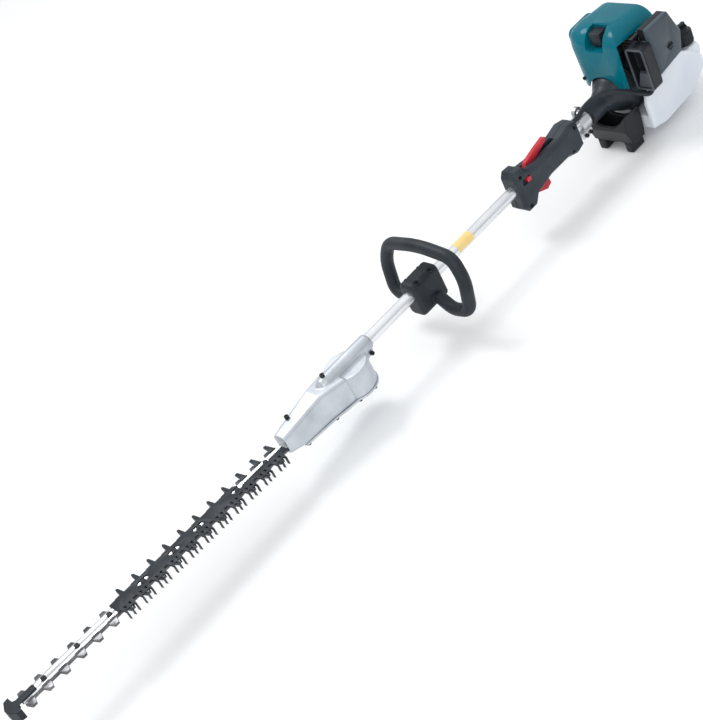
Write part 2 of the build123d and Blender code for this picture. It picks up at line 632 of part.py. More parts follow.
THROTTLE_SHAFT = (CYL_X + 5, 68.0)
with BuildPart() as throttle_arm:
    extrude(disc(level(98.4), 5, x=THROTTLE_SHAFT[0], y=THROTTLE_SHAFT[1]), amount=3)
    extrude(slab(level(98.4), 20, 5, x=THROTTLE_SHAFT[0] + 8, y=THROTTLE_SHAFT[1], corner=2), amount=3)
save(throttle_arm, "throttle_arm")

with BuildPart() as primer_bulb:
    extrude(disc(level(43.5), 9, x=CYL_X, y=PRIMER_Y), amount=8)
    fillet(primer_bulb.faces().sort_by(Axis.Z)[0].edges(), 5)
save(primer_bulb, "primer_bulb")

CLEANER_BASE = 84.0
CLEANER_SPLIT = 98.0
CLEANER_FACE = 112.0
PENTAGON = ((-138, 128), (-204, 126), (-224, 72), (-210, 32), (-138, 26))
with BuildPart() as air_box:
    extrude(outline(side(CLEANER_SPLIT), *PENTAGON), amount=CLEANER_SPLIT - CLEANER_BASE)
    # snorkel box in front, hollow and open to the front
    extrude(slab(across(-138), 46, 96, y=54, x=85, corner=8), amount=26)
    extrude(slab(across(-130), 36, 84, y=54, x=85, corner=5), amount=20, mode=Mode.SUBTRACT)
    extrude(outline(side(CLEANER_SPLIT + 1), (-146, 118), (-200, 117), (-216, 72), (-204, 40), (-146, 35)),
            amount=11, mode=Mode.SUBTRACT)
save(air_box, "air_box")

with BuildPart() as filter_element:
    extrude(outline(side(CLEANER_SPLIT + 6), (-148, 115), (-199, 114), (-213, 72), (-203, 42), (-148, 38)),
            amount=16)
save(filter_element, "filter_element")

KNOB = (-182.0, 64.0)
with BuildPart() as cleaner_cover:
    extrude(outline(side(CLEANER_FACE), *PENTAGON), amount=CLEANER_FACE - CLEANER_SPLIT - 0.1)
    chamfer(cleaner_cover.faces().sort_by(Axis.Y)[-1].edges(), 4)
    extrude(outline(side(CLEANER_FACE - 3), (-145, 119), (-200, 118), (-217, 72), (-205, 39), (-145, 34)),
            amount=20, mode=Mode.SUBTRACT)
    extrude(disc(side(CLEANER_FACE + 1), 8.3, x=KNOB[0], y=KNOB[1]), amount=8, mode=Mode.SUBTRACT)
save(cleaner_cover, "cleaner_cover")

with BuildPart() as cleaner_knob:
    extrude(disc(side(CLEANER_FACE - 1), 8, x=KNOB[0], y=KNOB[1]), amount=6)
    extrude(slab(side(CLEANER_FACE + 3), 14, 4, x=KNOB[0], y=KNOB[1], corner=1.5), amount=5)
save(cleaner_knob, "cleaner_knob")

CHOKE_PIVOT = (-150.0, 112.0)
with BuildPart() as choke_lever:
    extrude(disc(side(80), 6, x=CHOKE_PIVOT[0], y=CHOKE_PIVOT[1]), amount=8)
    extrude(slab(side(80), 26, 7, x=CHOKE_PIVOT[0] + 14, y=CHOKE_PIVOT[1], corner=3), amount=8)
save(choke_lever, "choke_lever")

# ---------------------------------------------------------------- starter
PULL_Z = 48.0
with BuildPart() as starter_case:
    revolve(turned((-214.2, 46), (-214.2, 56), (-240, 54), (-252, 44), (-254, 20), (-254, 9), (-250, 9), (-250, 42),
                   (-238, 50), (-219, 51), (-219, 46)), axis=SHAFT_AXIS)
    extrude(slab(across(-250), 16, 19, y=PULL_Z, corner=3), amount=16)
    extrude(disc(across(-256), 4, y=PULL_Z), amount=12, mode=Mode.SUBTRACT)
    extrude(disc(across(-252), 9.5), amount=2)
    extrude(disc(across(-252), 4), amount=10)
save(starter_case, "starter_case")

REEL_R = 30.0
with BuildPart() as starter_reel:
    revolve(turned((-244, 4.05), (-244, 38), (-241, 38), (-241, REEL_R), (-229, REEL_R), (-229, 38), (-226, 38),
                   (-226, 8), (-241, 8), (-241, 4.05)), axis=SHAFT_AXIS)
save(starter_reel, "starter_reel")

with BuildPart() as starter_handle:
    extrude(slab(across(-276), 44, 13, y=PULL_Z, corner=5), amount=14)
    extrude(disc(across(-262), 6, y=PULL_Z), amount=6)
    fillet(starter_handle.edges().group_by(Axis.X)[0], 4)
save(starter_handle, "starter_handle")

# ---------------------------------------------------------------- covers, stand and tank
COVER_T = 2.6
COVER_LEFT = 62.0
COVER_RIGHT = -104.0
COVER_SIDE = ((-96, 6), (-92, 60), (-103, 104), (-130, 136), (-176, 142), (-222, 122), (-224, 6))
COVER_BORE = ((-99, -20), (-95, 60), (-105.5, 103), (-131, 133.3), (-176, 139.3), (-219, 120.5), (-221, -20))
COVER_FRONT = ((COVER_LEFT, 6), (COVER_LEFT, 140), (-50, 142), (-84, 124), (COVER_RIGHT, 92),
               (COVER_RIGHT, 40), (-94, 6))
COVER_FRONT_BORE = ((70, -20), (70, 137), (-49, 139), (-82, 121.5), (-101, 91), (-101, 41), (-90, -20))
COVER_PLAN = ((-90, COVER_LEFT), (-90, -52), (-108, -86), (-140, COVER_RIGHT), (-224, COVER_RIGHT),
              (-224, COVER_LEFT))
COVER_PLAN_BORE = ((-93, 70), (-93, -51), (-110.5, -84), (-141, -101), (-221, -101), (-221, 70))
with BuildPart() as cover_room:
    extrude(outline(side(COVER_LEFT + 4), *COVER_BORE), amount=COVER_LEFT - COVER_RIGHT + 4 - COVER_T)
    extrude(outline(across(-230), *COVER_FRONT_BORE), amount=150, mode=Mode.INTERSECT)
    extrude(outline(level(-30), *COVER_PLAN_BORE), amount=180, mode=Mode.INTERSECT)

with BuildPart() as engine_cover:
    extrude(outline(side(COVER_LEFT), *COVER_SIDE), amount=COVER_LEFT - COVER_RIGHT)
    extrude(outline(across(-230), *COVER_FRONT), amount=150, mode=Mode.INTERSECT)
    extrude(outline(level(0), *COVER_PLAN), amount=150, mode=Mode.INTERSECT)
    add(cover_room.part, mode=Mode.SUBTRACT)
    for y, z in ENGINE_SCREWS:
        extrude(disc(across(-95), 4.2, x=y, y=z), amount=8, mode=Mode.SUBTRACT)
    extrude(disc(across(-130), 45), amount=50, mode=Mode.SUBTRACT)
    # the starter stands out of the rear, the plug cap out of its pocket
    extrude(disc(across(-230), 60), amount=20, mode=Mode.SUBTRACT)
    extrude(slab(across(-136), 36, 46, y=112, corner=4), amount=60, mode=Mode.SUBTRACT)
save(engine_cover, "engine_cover")

STAND_FLOOR = -116.0
FOOT_Y = 34.0
with BuildPart() as stand:
    extrude(outline(side(50), (-62, -30), (-56, -62), (-66, -96), (-104, -98), (-110, -60), (-110, -30)), amount=100)
    fillet(stand.edges().filter_by(Axis.Y), 5)
    extrude(disc(across(-120), 56.5), amount=80, mode=Mode.SUBTRACT)
    extrude(slab(level(-92), 34, 84, x=-84), amount=60, mode=Mode.SUBTRACT)
    for y in (-FOOT_Y, FOOT_Y):
        extrude(slab(level(STAND_FLOOR), 40, 20, x=-84, y=y, corner=5), amount=20)
save(stand, "stand")

TANK_SIDE = ((-114, -60), (-112, -88), (-150, -98), (-240, -94), (-298, -66), (-312, -28), (-306, -14),
             (-276, -14), (-266, -40), (-240, -60))
TANK_FLANK = ((-112, -88), (-114, -30), (-120, -15), (-150, -6), (-232, 10), (-274, -14), (-300, -40), (-298, -66),
              (-240, -94), (-150, -98))
CAP_X = -292.0
CAP_Y = 42.0
with BuildPart() as fuel_tank:
    extrude(outline(side(66), *TANK_SIDE), amount=132)
    fillet(fuel_tank.faces().sort_by(Axis.Y)[0].edges(), 6)
    fillet(fuel_tank.faces().sort_by(Axis.Y)[-1].edges(), 6)
    # the left flank rises beside the fan housing
    extrude(outline(side(74), *TANK_FLANK), amount=11.4)
    fillet(fuel_tank.faces().sort_by(Axis.Y)[-1].edges(), 5)
    extrude(disc(level(-16), 14, x=CAP_X, y=CAP_Y), amount=14)
save(fuel_tank, "fuel_tank")

with BuildPart() as fuel_cap:
    extrude(disc(level(-10), 21, x=CAP_X, y=CAP_Y, hole=14.3), amount=10)
    extrude(disc(level(-1.5), 21, x=CAP_X, y=CAP_Y), amount=17)
    fillet(fuel_cap.faces().sort_by(Axis.Z)[-1].edges(), 4)
save(fuel_cap, "fuel_cap")

with BuildPart() as oil_cap:
    extrude(disc(side(-38.2), 9, x=-200, y=-22), amount=10)
    extrude(slab(side(-48), 15, 4, x=-200, y=-22), amount=6)
save(oil_cap, "oil_cap")

# ---------------------------------------------------------------- throttle conduit
CONDUIT_R = 4.2
conduit_route = [(25.9, 10, 22), (8, 10, 22), (-18, 12, 33), (-48, 26, 38), (-76, 50, 26), (-100, 74, 6), (-122, 87, -10),
                 (-124, 88, 5.2)]


def corner_radii(points):
    """Arc radius at each inner corner: as large as the two runs beside it allow."""
    spots = [Vector(*point) for point in points]
    radii = []
    for before, corner, after in zip(spots, spots[1:], spots[2:]):
        turn = math.radians((corner - before).get_angle(after - corner))
        shorter = min((corner - before).length, (after - corner).length)
        radii.append(0.45 * shorter / math.tan(turn / 2))
    return radii


placed_route = [(x, y, AXIS_Z + z) for x, y, z in conduit_route]
conduit_radii = corner_radii(placed_route)
print("conduit radii", [round(radius) for radius in conduit_radii])
with BuildPart() as throttle_conduit:
    with BuildLine():
        FilletPolyline(*placed_route, radius=conduit_radii)
    with BuildSketch(Plane(origin=placed_route[0], z_dir=Vector(*placed_route[1]) - Vector(*placed_route[0]))):
        Circle(CONDUIT_R)
    sweep()
save(throttle_conduit, "throttle_conduit")
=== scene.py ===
import bmesh
import bpy
import math
from mathutils import Matrix, Vector


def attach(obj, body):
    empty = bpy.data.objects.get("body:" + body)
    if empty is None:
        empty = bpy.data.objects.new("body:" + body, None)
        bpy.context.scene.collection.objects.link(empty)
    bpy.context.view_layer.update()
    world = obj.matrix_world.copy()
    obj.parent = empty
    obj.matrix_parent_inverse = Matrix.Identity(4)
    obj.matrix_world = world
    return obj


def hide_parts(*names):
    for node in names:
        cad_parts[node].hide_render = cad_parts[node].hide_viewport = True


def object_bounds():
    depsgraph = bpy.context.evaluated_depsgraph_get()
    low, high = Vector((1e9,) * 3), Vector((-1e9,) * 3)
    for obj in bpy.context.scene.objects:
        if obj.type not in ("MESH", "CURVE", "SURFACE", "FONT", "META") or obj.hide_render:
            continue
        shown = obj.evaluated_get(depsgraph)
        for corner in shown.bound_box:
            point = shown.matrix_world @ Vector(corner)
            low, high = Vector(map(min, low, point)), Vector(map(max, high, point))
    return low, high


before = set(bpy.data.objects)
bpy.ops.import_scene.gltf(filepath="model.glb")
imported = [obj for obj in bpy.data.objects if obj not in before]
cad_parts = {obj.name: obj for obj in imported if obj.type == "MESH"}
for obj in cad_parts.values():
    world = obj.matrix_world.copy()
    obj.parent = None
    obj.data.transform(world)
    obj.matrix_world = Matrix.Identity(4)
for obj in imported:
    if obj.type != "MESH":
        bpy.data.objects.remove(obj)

cad_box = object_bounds()

# ---------------------------------------------------------------- camera, floor and lights
# A long lens from the front left and well above, rolled so that the tool lies corner to corner.
# The floor is a plain pale sheet under the stand; the light is a bright tent with two soft boxes.
TO_CAMERA = Vector((0.384, 0.725, 0.572)).normalized()
PICTURE_UP = Vector((-0.660, -0.218, 0.719))
camera_data = bpy.data.cameras.new("camera")
camera_data.lens = 76.2
CAMERA_PLACE = Vector((1.741, 1.970, 1.523))
camera = bpy.data.objects.new("camera", camera_data)
bpy.context.scene.collection.objects.link(camera)
picture_right = PICTURE_UP.cross(TO_CAMERA).normalized()
picture_up = TO_CAMERA.cross(picture_right)
camera.matrix_world = Matrix((
    (picture_right.x, picture_up.x, TO_CAMERA.x, CAMERA_PLACE.x),
    (picture_right.y, picture_up.y, TO_CAMERA.y, CAMERA_PLACE.y),
    (picture_right.z, picture_up.z, TO_CAMERA.z, CAMERA_PLACE.z),
    (0, 0, 0, 1)))
bpy.context.scene.camera = camera

bpy.ops.object.select_all(action="DESELECT")
bpy.ops.mesh.primitive_plane_add(size=40, location=(0.6, 0, cad_box[0].z - 0.001))
floor = bpy.context.object
floor.name = "floor"
floor_paint = bpy.data.materials.new("floor_paint")
floor_paint.use_nodes = True
floor_shader = floor_paint.node_tree.nodes["Principled BSDF"]
floor_shader.inputs["Base Color"].default_value = (0.93, 0.935, 0.94, 1)
floor_shader.inputs["Roughness"].default_value = 0.85
floor_shader.inputs["Specular IOR Level"].default_value = 0.1
floor.data.materials.append(floor_paint)

world = bpy.data.worlds.new("studio")
world.use_nodes = True
sky = world.node_tree.nodes.new("ShaderNodeTexCoord")
height = world.node_tree.nodes.new("ShaderNodeSeparateXYZ")
tent = world.node_tree.nodes.new("ShaderNodeMapRange")
tent.inputs["From Min"].default_value = -0.1
tent.inputs["From Max"].default_value = 0.9
tent.inputs["To Min"].default_value = 0.42
tent.inputs["To Max"].default_value = 1.05
world.node_tree.links.new(sky.outputs["Generated"], height.inputs["Vector"])
world.node_tree.links.new(height.outputs["Z"], tent.inputs["Value"])
world.node_tree.nodes["Background"].inputs["Color"].default_value = (0.97, 0.985, 1.0, 1)
world.node_tree.links.new(tent.outputs["Result"], world.node_tree.nodes["Background"].inputs["Strength"])
bpy.context.scene.world = world
bpy.context.scene.view_settings.view_transform = "Standard"

SOFT_BOXES = (("key_box", (0.4, -1.6, 2.6), 1.1, 34), ("side_box", (2.2, 2.0, 1.6), 0.8, 14))
for name, place, size, power in SOFT_BOXES:
    bpy.ops.object.light_add(type="AREA", location=place)
    lamp = bpy.context.object
    lamp.name = name
    lamp.data.size = size
    lamp.data.energy = power
    lamp.rotation_euler = (Vector((0.4, 0, 0)) - Vector(place)).to_track_quat("-Z", "Y").to_euler()

# ---------------------------------------------------------------- shaft
# A drawn aluminium tube, anodised silver, with the fine lengthwise marks of drawing and polishing.
# Inside it four rubber bushes carry the ground steel drive shaft.


def surface_group():
    """Node group of a worn surface: slow patches of tone, a fine grain, and thin scratches one way."""
    group = bpy.data.node_groups.new("worn_surface", "ShaderNodeTree")
    for socket, value in (("Patch Scale", 18.0), ("Grain Scale", 900.0), ("Stretch", 1.0)):
        made = group.interface.new_socket(socket, in_out="INPUT", socket_type="NodeSocketFloat")
        made.default_value = value
    for socket in ("Tone", "Grain", "Scratches"):
        group.interface.new_socket(socket, in_out="OUTPUT", socket_type="NodeSocketFloat")
    nodes, links = group.nodes, group.links
    taken, given = nodes.new("NodeGroupInput"), nodes.new("NodeGroupOutput")
    place = nodes.new("ShaderNodeTexCoord")
    patches, grain, marks = (nodes.new("ShaderNodeTexNoise") for _ in range(3))
    patches.inputs["Detail"].default_value = 4
    grain.inputs["Detail"].default_value = 3
    marks.inputs["Scale"].default_value = 60
    marks.inputs["Detail"].default_value = 6
    # the stretched copy of the place draws grain and scratches out along X
    along, drawn = nodes.new("ShaderNodeCombineXYZ"), nodes.new("ShaderNodeVectorMath")
    along.inputs["Y"].default_value = 1
    along.inputs["Z"].default_value = 1
    drawn.operation = "MULTIPLY"
    links.new(taken.outputs["Stretch"], along.inputs["X"])
    links.new(place.outputs["Object"], drawn.inputs[0])
    links.new(along.outputs["Vector"], drawn.inputs[1])
    for noise, scale in ((patches, "Patch Scale"), (grain, "Grain Scale")):
        links.new(taken.outputs[scale], noise.inputs["Scale"])
    links.new(place.outputs["Object"], patches.inputs["Vector"])
    links.new(drawn.outputs["Vector"], grain.inputs["Vector"])
    links.new(drawn.outputs["Vector"], marks.inputs["Vector"])
    thin = nodes.new("ShaderNodeMapRange")
    thin.inputs["From Min"].default_value = 0.60
    thin.inputs["From Max"].default_value = 0.72
    links.new(marks.outputs["Fac"], thin.inputs["Value"])
    links.new(patches.outputs["Fac"], given.inputs["Tone"])
    links.new(grain.outputs["Fac"], given.inputs["Grain"])
    links.new(thin.outputs["Result"], given.inputs["Scratches"])
    return group


worn_surface = surface_group()


def finish(name, light, dark, rough, patch=18.0, grain=900.0, depth=0.00005, metal=0.0, coat=0.0, stretch=1.0,
           scuff=0.12, shine=0.3):
    """A material between two tones of one colour, with grain, uneven gloss and fine scratches."""
    made = bpy.data.materials.new(name)
    made.use_nodes = True
    nodes, links = made.node_tree.nodes, made.node_tree.links
    shader = nodes["Principled BSDF"]
    surface = nodes.new("ShaderNodeGroup")
    surface.node_tree = worn_surface
    surface.inputs["Patch Scale"].default_value = patch
    surface.inputs["Grain Scale"].default_value = grain
    surface.inputs["Stretch"].default_value = stretch
    tones = nodes.new("ShaderNodeMix")
    tones.data_type = "RGBA"
    tones.inputs["A"].default_value = (*dark, 1)
    tones.inputs["B"].default_value = (*light, 1)
    tone_range = nodes.new("ShaderNodeMapRange")
    tone_range.inputs["From Min"].default_value = 0.36
    tone_range.inputs["From Max"].default_value = 0.62
    links.new(surface.outputs["Tone"], tone_range.inputs["Value"])
    links.new(tone_range.outputs["Result"], tones.inputs["Factor"])
    scuffed = nodes.new("ShaderNodeMath")
    scuffed.operation = "MULTIPLY_ADD"
    scuffed.inputs[1].default_value = scuff
    uneven = nodes.new("ShaderNodeMapRange")
    uneven.inputs["To Min"].default_value = rough * 0.85
    uneven.inputs["To Max"].default_value = rough * 1.15
    links.new(surface.outputs["Grain"], uneven.inputs["Value"])
    links.new(surface.outputs["Scratches"], scuffed.inputs[0])
    links.new(uneven.outputs["Result"], scuffed.inputs[2])
    bump = nodes.new("ShaderNodeBump")
    bump.inputs["Distance"].default_value = depth
    bump.inputs["Strength"].default_value = 0.8
    links.new(surface.outputs["Grain"], bump.inputs["Height"])
    links.new(tones.outputs["Result"], shader.inputs["Base Color"])
    links.new(scuffed.outputs["Value"], shader.inputs["Roughness"])
    links.new(bump.outputs["Normal"], shader.inputs["Normal"])
    shader.inputs["Metallic"].default_value = metal
    shader.inputs["Specular IOR Level"].default_value = shine
    shader.inputs["Coat Weight"].default_value = coat
    shader.inputs["Coat Roughness"].default_value = 0.06
    return made


def dress(material, *nodes):
    """Gives CAD nodes their finish."""
    for node in nodes:
        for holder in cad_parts[node].material_slots:
            holder.material = material


drawn_tube = finish("drawn_tube", (0.86, 0.87, 0.89), (0.74, 0.755, 0.78), 0.24, patch=9, grain=700,
                    depth=0.00001, metal=0.85, stretch=0.04, scuff=0.1)
ground_steel = finish("ground_steel", (0.62, 0.62, 0.63), (0.48, 0.48, 0.50), 0.28, grain=1400, depth=0.00002,
                      metal=1.0, stretch=6)
bush_rubber = finish("bush_rubber", (0.035, 0.035, 0.036), (0.02, 0.02, 0.02), 0.75, grain=500, depth=0.0001)
dress(drawn_tube, "shaft_tube")
dress(ground_steel, "drive_shaft", "bevel_pinion", "crank_gear", "clutch_drum", "crankshaft")
dress(bush_rubber, "shaft_bushes", "tube_damper")

# a plain yellow paper label, printed with nothing, wrapped over the upper left of the tube
LABEL_X = (0.352, 0.396)
AXIS_Z = -0.026
TUBE_R = 0.0121
bpy.ops.object.select_all(action="DESELECT")
bpy.ops.mesh.primitive_cylinder_add(vertices=64, radius=TUBE_R, depth=LABEL_X[1] - LABEL_X[0],
                                    end_fill_type="NOTHING", location=(sum(LABEL_X) / 2, 0, AXIS_Z),
                                    rotation=(0, math.pi / 2, 0))
label = bpy.context.object
label.name = "shaft_label"
bpy.ops.object.transform_apply(location=True, rotation=True, scale=True)
bpy.ops.object.mode_set(mode="EDIT")
bpy.ops.mesh.select_mode(type="FACE")
bpy.ops.mesh.select_all(action="DESELECT")
wrap = bmesh.from_edit_mesh(label.data)
for face in wrap.faces:
    face.select_set(face.normal.dot(Vector((0, 0.6, 0.8))) < 0.45)
bmesh.update_edit_mesh(label.data)
bpy.ops.mesh.delete(type="FACE")
bpy.ops.object.mode_set(mode="OBJECT")
paper = label.modifiers.new("paper", "SOLIDIFY")
paper.thickness = 0.0001
paper.offset = 1
bpy.ops.object.modifier_apply(modifier="paper")
bpy.ops.object.shade_smooth_by_angle(angle=math.radians(40))
label.data.materials.append(finish("label_paper", (0.95, 0.72, 0.30), (0.90, 0.62, 0.22), 0.5, grain=1500,
                                   depth=0.00001))
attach(label, "pole")

# ---------------------------------------------------------------- gear head
# A gravity-cast aluminium case, bead blasted, with soft cast corners and a flat machined floor;
# a pressed cover closes it from below, and black oxide socket screws hold it to the tube.


def alone(piece):
    """Makes a piece the only selected and active object."""
    bpy.ops.object.select_all(action="DESELECT")
    piece.select_set(True)
    bpy.context.view_layer.objects.active = piece


def copied(name, *nodes):
    """One new piece with the merged shape of some CAD nodes, to be eased into its moulded or cast form."""
    copies = []
    for node in nodes:
        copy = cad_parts[node].copy()
        copy.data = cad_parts[node].data.copy()
        copy.parent = None
        copy.matrix_world = Matrix.Identity(4)
        bpy.context.scene.collection.objects.link(copy)
        copies.append(copy)
    bpy.ops.object.select_all(action="DESELECT")
    for copy in copies:
        copy.select_set(True)
    bpy.context.view_layer.objects.active = copies[0]
    if len(copies) > 1:
        bpy.ops.object.join()
    piece = copies[0]
    for key in list(piece.keys()):
        del piece[key]
    piece.name = piece.data.name = name
    bpy.ops.object.mode_set(mode="EDIT")
    bpy.ops.mesh.select_all(action="SELECT")
    bpy.ops.mesh.remove_doubles(threshold=0.00001)
    bpy.ops.object.mode_set(mode="OBJECT")
    piece.data.materials.clear()
    return piece


def modified(piece, kind, **settings):
    """Adds one modifier to the piece, sets it and applies it."""
    alone(piece)
    added = piece.modifiers.new(kind.lower(), kind)
    for setting, value in settings.items():
        setattr(added, setting, value)
    bpy.ops.object.modifier_apply(modifier=added.name)


def moulded(name, grid, passes, *nodes):
    """A copy of CAD nodes with every edge rounded, as a casting or a moulding has them."""
    piece = copied(name, *nodes)
    modified(piece, "REMESH", mode="VOXEL", voxel_size=grid, use_smooth_shade=True)
    modified(piece, "SMOOTH", factor=0.5, iterations=passes)
    return piece


def eased(name, width, *nodes):
    """A copy of CAD nodes with its sharp edges broken by a narrow bevel."""
    piece = copied(name, *nodes)
    alone(piece)
    bpy.ops.object.mode_set(mode="EDIT")
    bpy.ops.mesh.select_all(action="SELECT")
    bpy.ops.mesh.dissolve_limited(angle_limit=math.radians(2))
    bpy.ops.object.mode_set(mode="OBJECT")
    modified(piece, "BEVEL", width=width, segments=2, limit_method="ANGLE", angle_limit=math.radians(32))
    bpy.ops.object.shade_smooth_by_angle(angle=math.radians(32))
    return piece


def settle(piece, body, slot, material, *nodes):
    """Gives a finished piece its finish and its body, and hides the CAD nodes it stands for."""
    piece.data.materials.clear()
    piece.data.materials.append(material)
    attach(piece, body)
    if nodes:
        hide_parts(*nodes)


cast_alloy = finish("cast_alloy", (0.60, 0.63, 0.67), (0.46, 0.49, 0.53), 0.42, patch=14, grain=1100,
                    depth=0.00004, metal=0.75, coat=0.15)
black_oxide = finish("black_oxide", (0.035, 0.037, 0.04), (0.018, 0.019, 0.02), 0.38, grain=1500,
                     depth=0.00002, metal=0.6)
settle(moulded("gear_case_casting", 0.0013, 5, "gear_case"), "pole", "cast_aluminium", cast_alloy,
       "gear_case")
settle(eased("gear_case_floor", 0.0006, "gear_case_cover"), "pole", "cast_aluminium", cast_alloy,
       "gear_case_cover")
dress(black_oxide, "small_screws", "neck_bolts", "bar_bolts", "loop_bolts", "grip_screws", "hanger_bolts",
      "control_pins")

# ---------------------------------------------------------------- cutter
# Two hardened steel blades slide under a bright guide bar; the teeth are ground on their flanks.
# A black nylon guard with tapered fingers covers the rear two thirds, a nylon cap the tip.
blade_steel = finish("blade_steel", (0.22, 0.22, 0.23), (0.12, 0.12, 0.13), 0.34, patch=30, grain=1200,
                     depth=0.00003, metal=1.0, stretch=0.2, scuff=0.2)
bar_steel = finish("bar_steel", (0.84, 0.85, 0.86), (0.70, 0.71, 0.73), 0.22, patch=12, grain=1000,
                   depth=0.00001, metal=0.95, stretch=0.08, scuff=0.15)
guard_nylon = finish("guard_nylon", (0.016, 0.023, 0.031), (0.009, 0.013, 0.018), 0.42, patch=24, grain=1300,
                     depth=0.00005)
settle(eased("upper_blade_ground", 0.0003, "upper_blade"), "upper_cutter", "blade_steel", blade_steel,
       "upper_blade")
settle(eased("lower_blade_ground", 0.0003, "lower_blade"), "lower_cutter", "blade_steel", blade_steel,
       "lower_blade")
settle(eased("guide_bar_polished", 0.0004, "guide_bar"), "pole", "blade_steel", bar_steel, "guide_bar")
settle(eased("guard_moulding", 0.0005, "blade_guard"), "pole", "black_plastic", guard_nylon, "blade_guard")
settle(moulded("tip_cap_moulding", 0.0007, 3, "tip_protector"), "pole", "black_plastic", guard_nylon,
       "tip_protector")

# ---------------------------------------------------------------- loop handle
# One closed tube under a sleeve of soft black rubber, which runs without a break into the domed clamp.
handle_rubber = finish("handle_rubber", (0.024, 0.031, 0.038), (0.014, 0.018, 0.023), 0.50, patch=20,
                       grain=700, depth=0.0001, scuff=0.08)
settle(moulded("loop_moulding", 0.0013, 9, "loop_handle", "loop_clamp"), "loop", "rubber_black",
       handle_rubber, "loop_handle", "loop_clamp")

# ---------------------------------------------------------------- throttle grip
# Two nylon halves screwed together round the tube; trigger, lock lever and switch are glossy red.
grip_nylon = finish("grip_nylon", (0.032, 0.043, 0.055), (0.020, 0.027, 0.036), 0.42, patch=22, grain=1100,
                    depth=0.00008)
red_nylon = finish("red_nylon", (0.60, 0.022, 0.040), (0.47, 0.014, 0.026), 0.30, grain=1200, depth=0.00004,
                   coat=0.2)
for hand in ("left", "right"):
    settle(moulded(f"grip_{hand}_moulding", 0.001, 8, f"grip_{hand}"), "pole", "slate_plastic", grip_nylon,
           f"grip_{hand}")
settle(moulded("trigger_moulding", 0.0006, 4, "throttle_trigger"), "trigger", "red_plastic", red_nylon,
       "throttle_trigger")
settle(moulded("lock_lever_moulding", 0.0006, 4, "lock_lever"), "lock", "red_plastic", red_nylon,
       "lock_lever")
settle(moulded("switch_moulding", 0.0004, 3, "stop_switch"), "switch", "red_plastic", red_nylon,
       "stop_switch")

# ---------------------------------------------------------------- strap hanger
# A die-cast clamp with a ring for the shoulder strap, tumbled bright.
bright_casting = finish("bright_casting", (0.70, 0.71, 0.73), (0.56, 0.57, 0.60), 0.36, grain=900,
                        depth=0.00003, metal=0.9)
dress(bright_casting, "hanger")

# ---------------------------------------------------------------- clutch case
# A satin nylon cone round the clutch, drawn in to a long sleeve over the rubber mounted tube end.
case_nylon = finish("case_nylon", (0.026, 0.034, 0.043), (0.015, 0.020, 0.026), 0.36, patch=16, grain=1200,
                    depth=0.00005)
settle(moulded("clutch_case_moulding", 0.0012, 5, "clutch_case"), "pole", "slate_plastic", case_nylon,
       "clutch_case")

# ---------------------------------------------------------------- engine
# Sand-cast fins and crankcase in dull aluminium, heat-browned round the exhaust side.
fin_alloy = finish("fin_alloy", (0.42, 0.36, 0.30), (0.30, 0.22, 0.15), 0.55, patch=40, grain=700,
                   depth=0.0001, metal=0.8)
case_alloy = finish("case_alloy", (0.50, 0.51, 0.52), (0.38, 0.39, 0.40), 0.5, grain=800, depth=0.0001,
                    metal=0.7)
scorched_steel = finish("scorched_steel", (0.28, 0.22, 0.17), (0.14, 0.10, 0.08), 0.45, patch=30, grain=900,
                        depth=0.00005, metal=0.8)
engine_nylon = finish("engine_nylon", (0.014, 0.017, 0.021), (0.008, 0.010, 0.013), 0.40, patch=20,
                      grain=1200, depth=0.00006)
foam = finish("foam", (0.06, 0.06, 0.065), (0.03, 0.03, 0.03), 0.9, grain=450, depth=0.0004)
clear_rubber = finish("clear_rubber", (0.55, 0.50, 0.42), (0.42, 0.38, 0.32), 0.2, grain=300, depth=0.00002,
                      coat=0.3)
dress(fin_alloy, "cylinder")
dress(case_alloy, "crankcase", "flywheel", "piston", "carburettor", "throttle_arm", "rocker_cover")
dress(scorched_steel, "muffler", "clutch_shoes", "spark_plug")
dress(engine_nylon, "fan_housing", "insulator", "ignition_coil", "starter_reel", "choke_lever", "oil_cap")
dress(foam, "filter_element")
dress(clear_rubber, "primer_bulb")

# ---------------------------------------------------------------- engine cover
# A painted nylon shell, 2.6 mm thick, with rounded shoulders, open at the left and below. It has an
# arch over the clutch case and a recess for the plug cap.
COVER_LOW = Vector((-0.224, -0.080, -0.020))
COVER_HIGH = Vector((-0.090, 0.062, 0.116))
COVER_WALL = 0.0026
SHOULDER = 0.040
ARCH_R = 0.0425
RECESS = (0.044, 0.040)
RECESS_MIDDLE = Vector((-0.118, 0.004, 0.093))


def selected(piece, kind, test):
    """In edit mode, selects the faces or edges of the piece that pass the test, and nothing else."""
    bpy.ops.mesh.select_mode(type=kind)
    bpy.ops.mesh.select_all(action="DESELECT")
    shape = bmesh.from_edit_mesh(piece.data)
    for part in (shape.faces if kind == "FACE" else shape.edges):
        part.select_set(test(part))
    bmesh.update_edit_mesh(piece.data)


def block(name, low, high):
    """A box between two corners, as a piece in edit mode."""
    bpy.ops.object.select_all(action="DESELECT")
    bpy.ops.mesh.primitive_cube_add(size=1, location=(low + high) / 2, scale=high - low)
    piece = bpy.context.object
    piece.name = piece.data.name = name
    bpy.ops.object.transform_apply(location=True, rotation=True, scale=True)
    bpy.ops.object.mode_set(mode="EDIT")
    return piece


def carved(piece, tool):
    """Cuts the tool's shape out of the piece and throws the tool away."""
    modified(piece, "BOOLEAN", object=tool, operation="DIFFERENCE", solver="EXACT")
    bpy.data.objects.remove(tool)


